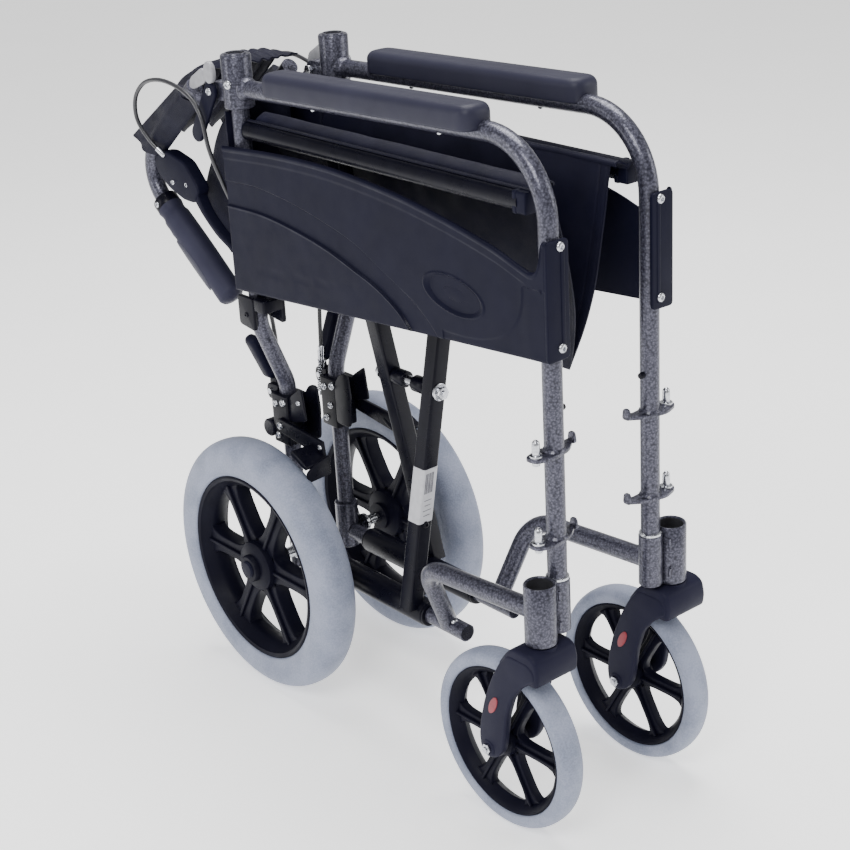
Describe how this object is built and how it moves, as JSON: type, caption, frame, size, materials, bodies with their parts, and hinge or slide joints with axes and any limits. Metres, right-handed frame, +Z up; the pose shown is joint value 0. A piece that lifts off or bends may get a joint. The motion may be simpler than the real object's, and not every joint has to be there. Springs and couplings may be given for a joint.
{
  "type": "transport wheelchair",
  "caption": "Attendant-pushed transport wheelchair, folded: two tubular side frames on a scissor brace, sling seat, fold-down backrest, four small wheels.",
  "frame": {"origin": "middle of the footprint of the folded chair, on the floor", "axes": "-Y is the chair's front, -X is the user's right-hand side, +Z is up"},
  "size_m": [0.252, 0.7441, 0.7607],
  "materials": {
    "frame_paint": "hammered silver-grey powder coat",
    "moulded_plastic": "fine-grained navy-black moulding",
    "pad_foam": "self-skinned foam",
    "bright_steel": "zinc-plated",
    "black_paint": "semi-gloss black powder coat",
    "cable_sheath": "smooth sheath",
    "tyre_grey": "non-marking solid polyurethane",
    "sling_cloth": "coated woven nylon",
    "grip_rubber": "matt soft grip"
  },
  "bodies": {
    "right_frame": {"front_tube_right": "frame_paint", "stem_housing_right": "frame_paint", "lower_rail_right": "frame_paint", "rear_upright_right": "frame_paint", "side_panel_right": "moulded_plastic", "armrest_pad_right": "pad_foam", "seat_saddle_right": "moulded_plastic", "rear_axle_right": "bright_steel", "brake_bracket_right": "black_paint", "cable_lower_right": "cable_sheath", "back_lower_right": "sling_cloth"},
    "left_frame": {"front_tube_left": "frame_paint", "stem_housing_left": "frame_paint", "lower_rail_left": "frame_paint", "rear_upright_left": "frame_paint", "side_panel_left": "moulded_plastic", "armrest_pad_left": "pad_foam", "seat_saddle_left": "moulded_plastic", "rear_axle_left": "bright_steel", "brake_bracket_left": "black_paint", "cable_lower_left": "cable_sheath"},
    "brace_front": {"cross_bar_front": "black_paint", "seat_rail_left": "black_paint", "pivot_shaft": "bright_steel"},
    "brace_rear": {"cross_bar_rear": "black_paint", "seat_rail_right": "black_paint"},
    "seat_right_half": {"seat_sling_right": "sling_cloth"},
    "seat_left_half": {"seat_sling_left": "sling_cloth"},
    "back_post_right": {"back_post_right": "frame_paint", "push_grip_right": "grip_rubber", "cable_upper_right": "cable_sheath", "back_upper_right": "sling_cloth"},
    "back_post_left": {"back_post_left": "frame_paint", "push_grip_left": "grip_rubber", "cable_upper_left": "cable_sheath"},
    "upper_back_middle": {"back_upper_middle": "sling_cloth"},
    "upper_back_left": {"back_upper_left": "sling_cloth"},
    "lower_back_middle": {"back_lower_middle": "sling_cloth"},
    "lower_back_left": {"back_lower_left": "sling_cloth"},
    "castor_fork_right": {"castor_fork_right": "moulded_plastic", "castor_axle_right": "bright_steel"},
    "castor_wheel_right": {"castor_rim_right": "moulded_plastic", "castor_tyre_right": "tyre_grey"},
    "rear_wheel_right": {"rear_wheel_rim_right": "moulded_plastic", "rear_wheel_tyre_right": "tyre_grey"},
    "hand_lever_right": {"hand_lever_right": "moulded_plastic"},
    "latch_lever_right": {"latch_lever_right": "moulded_plastic"},
    "parking_lever_right": {"parking_lever_right": "moulded_plastic"},
    "brake_arm_right": {"brake_arm_right": "black_paint"},
    "castor_fork_left": {"castor_fork_left": "moulded_plastic", "castor_axle_left": "bright_steel"},
    "castor_wheel_left": {"castor_rim_left": "moulded_plastic", "castor_tyre_left": "tyre_grey"},
    "rear_wheel_left": {"rear_wheel_rim_left": "moulded_plastic", "rear_wheel_tyre_left": "tyre_grey"},
    "hand_lever_left": {"hand_lever_left": "moulded_plastic"},
    "latch_lever_left": {"latch_lever_left": "moulded_plastic"},
    "parking_lever_left": {"parking_lever_left": "moulded_plastic"},
    "brake_arm_left": {"brake_arm_left": "black_paint"}
  },
  "joints": [
    {"name": "fold", "type": "hinge", "parent": "right_frame", "child": "brace_front", "pos_m": [-0.0362, -0.063, 0.149], "axis": [0, 1, 0], "range_deg": [0, 38.5]},
    {"name": "brace_cross", "type": "hinge", "parent": "brace_front", "child": "brace_rear", "pos_m": [0, -0.025, 0.4065], "axis": [0, 1, 0], "range_deg": [-78, 0.5]},
    {"name": "left_rail_pivot", "type": "hinge", "parent": "brace_rear", "child": "left_frame", "pos_m": [0.0362, 0.012, 0.149], "axis": [0, 1, 0], "range_deg": [-0.5, 39.5]},
    {"name": "seat_right_edge", "type": "hinge", "parent": "brace_rear", "child": "seat_right_half", "pos_m": [-0.042, -0.075, 0.6885], "axis": [0, 1, 0], "range_deg": [-40.87, 1], "deforming": ["seat_sling_right"]},
    {"name": "seat_fold_line", "type": "hinge", "parent": "seat_right_half", "child": "seat_left_half", "pos_m": [0, -0.075, 0.4844], "axis": [0, 1, 0], "range_deg": [-1, 157.74], "deforming": ["seat_sling_left"]},
    {"name": "back_fold", "type": "hinge", "parent": "right_frame", "child": "back_post_right", "pos_m": [-0.067, 0.195, 0.716], "axis": [1, 0, 0], "range_deg": [0, 130]},
    {"name": "back_fold_left", "type": "hinge", "parent": "left_frame", "child": "back_post_left", "pos_m": [0.067, 0.195, 0.716], "axis": [1, 0, 0], "range_deg": [-1, 131]},
    {"name": "upper_back_spread_middle", "type": "slide", "parent": "back_post_right", "child": "upper_back_middle", "axis": [1, 0, 0], "range_m": [-0.002, 0.1564], "deforming": ["back_upper_middle"]},
    {"name": "upper_back_spread_left", "type": "slide", "parent": "back_post_right", "child": "upper_back_left", "axis": [1, 0, 0], "range_m": [-0.002, 0.3089], "deforming": ["back_upper_left"]},
    {"name": "lower_back_spread_middle", "type": "slide", "parent": "right_frame", "child": "lower_back_middle", "axis": [1, 0, 0], "range_m": [-0.002, 0.1564], "deforming": ["back_lower_middle"]},
    {"name": "lower_back_spread_left", "type": "slide", "parent": "right_frame", "child": "lower_back_left", "axis": [1, 0, 0], "range_m": [-0.002, 0.3089], "deforming": ["back_lower_left"]},
    {"name": "castor_swivel_right", "type": "hinge", "parent": "right_frame", "child": "castor_fork_right", "pos_m": [-0.0945, -0.325, 0.21], "axis": [0, 0, 1], "continuous": true},
    {"name": "castor_spin_right", "type": "hinge", "parent": "castor_fork_right", "child": "castor_wheel_right", "pos_m": [-0.0945, -0.272, 0.1], "axis": [1, 0, 0], "continuous": true},
    {"name": "rear_wheel_spin_right", "type": "hinge", "parent": "right_frame", "child": "rear_wheel_right", "pos_m": [-0.0989, 0.1495, 0.156], "axis": [1, 0, 0], "continuous": true},
    {"name": "hand_brake_right", "type": "hinge", "parent": "back_post_right", "child": "hand_lever_right", "pos_m": [-0.067, 0.27799, 0.59335], "axis": [1, 0, 0], "range_deg": [0, 14], "stiffness_Nm_per_rad": 1.5, "springref_deg": -11.46},
    {"name": "back_latch_right", "type": "hinge", "parent": "right_frame", "child": "latch_lever_right", "pos_m": [-0.08, 0.194, 0.716], "axis": [1, 0, 0], "range_deg": [0, 25], "stiffness_Nm_per_rad": 0.8, "springref_deg": -11.46},
    {"name": "parking_brake_right", "type": "hinge", "parent": "right_frame", "child": "parking_lever_right", "pos_m": [-0.0362, 0.189, 0.35], "axis": [1, 0, 0], "range_deg": [-40, 0]},
    {"name": "brake_shoe_right", "type": "hinge", "parent": "right_frame", "child": "brake_arm_right", "pos_m": [-0.054, 0.157, 0.318], "axis": [1, 0, 0], "range_deg": [-0.5, 2.5]},
    {"name": "castor_swivel_left", "type": "hinge", "parent": "left_frame", "child": "castor_fork_left", "pos_m": [0.0945, -0.325, 0.21], "axis": [0, 0, -1], "continuous": true},
    {"name": "castor_spin_left", "type": "hinge", "parent": "castor_fork_left", "child": "castor_wheel_left", "pos_m": [0.0945, -0.272, 0.1], "axis": [1, 0, 0], "continuous": true},
    {"name": "rear_wheel_spin_left", "type": "hinge", "parent": "left_frame", "child": "rear_wheel_left", "pos_m": [0.0989, 0.1495, 0.156], "axis": [1, 0, 0], "continuous": true},
    {"name": "hand_brake_left", "type": "hinge", "parent": "back_post_left", "child": "hand_lever_left", "pos_m": [0.067, 0.27799, 0.59335], "axis": [1, 0, 0], "range_deg": [0, 14], "stiffness_Nm_per_rad": 1.5, "springref_deg": -11.46},
    {"name": "back_latch_left", "type": "hinge", "parent": "left_frame", "child": "latch_lever_left", "pos_m": [0.08, 0.194, 0.716], "axis": [1, 0, 0], "range_deg": [0, 25], "stiffness_Nm_per_rad": 0.8, "springref_deg": -11.46},
    {"name": "parking_brake_left", "type": "hinge", "parent": "left_frame", "child": "parking_lever_left", "pos_m": [0.0362, 0.189, 0.35], "axis": [1, 0, 0], "range_deg": [-40, 0]},
    {"name": "brake_shoe_left", "type": "hinge", "parent": "left_frame", "child": "brake_arm_left", "pos_m": [0.054, 0.157, 0.318], "axis": [1, 0, 0], "range_deg": [-0.5, 2.5]}
  ],
  "couplings": [
    {"joint": "brace_cross", "follows": "fold", "ratio": -2},
    {"joint": "left_rail_pivot", "follows": "fold", "ratio": 1},
    {"joint": "seat_right_edge", "follows": "fold", "ratio": -1.0356},
    {"joint": "seat_fold_line", "follows": "fold", "ratio": 4.0713},
    {"joint": "back_fold_left", "follows": "back_fold", "ratio": 1},
    {"joint": "upper_back_spread_middle", "follows": "fold", "m_per_rad": 0.22684},
    {"joint": "upper_back_spread_left", "follows": "fold", "m_per_rad": 0.45369},
    {"joint": "lower_back_spread_middle", "follows": "fold", "m_per_rad": 0.22684},
    {"joint": "lower_back_spread_left", "follows": "fold", "m_per_rad": 0.45369},
    {"joint": "brake_shoe_right", "follows": "parking_brake_right", "ratio": -0.049},
    {"joint": "brake_shoe_left", "follows": "parking_brake_left", "ratio": -0.049}
  ]
}
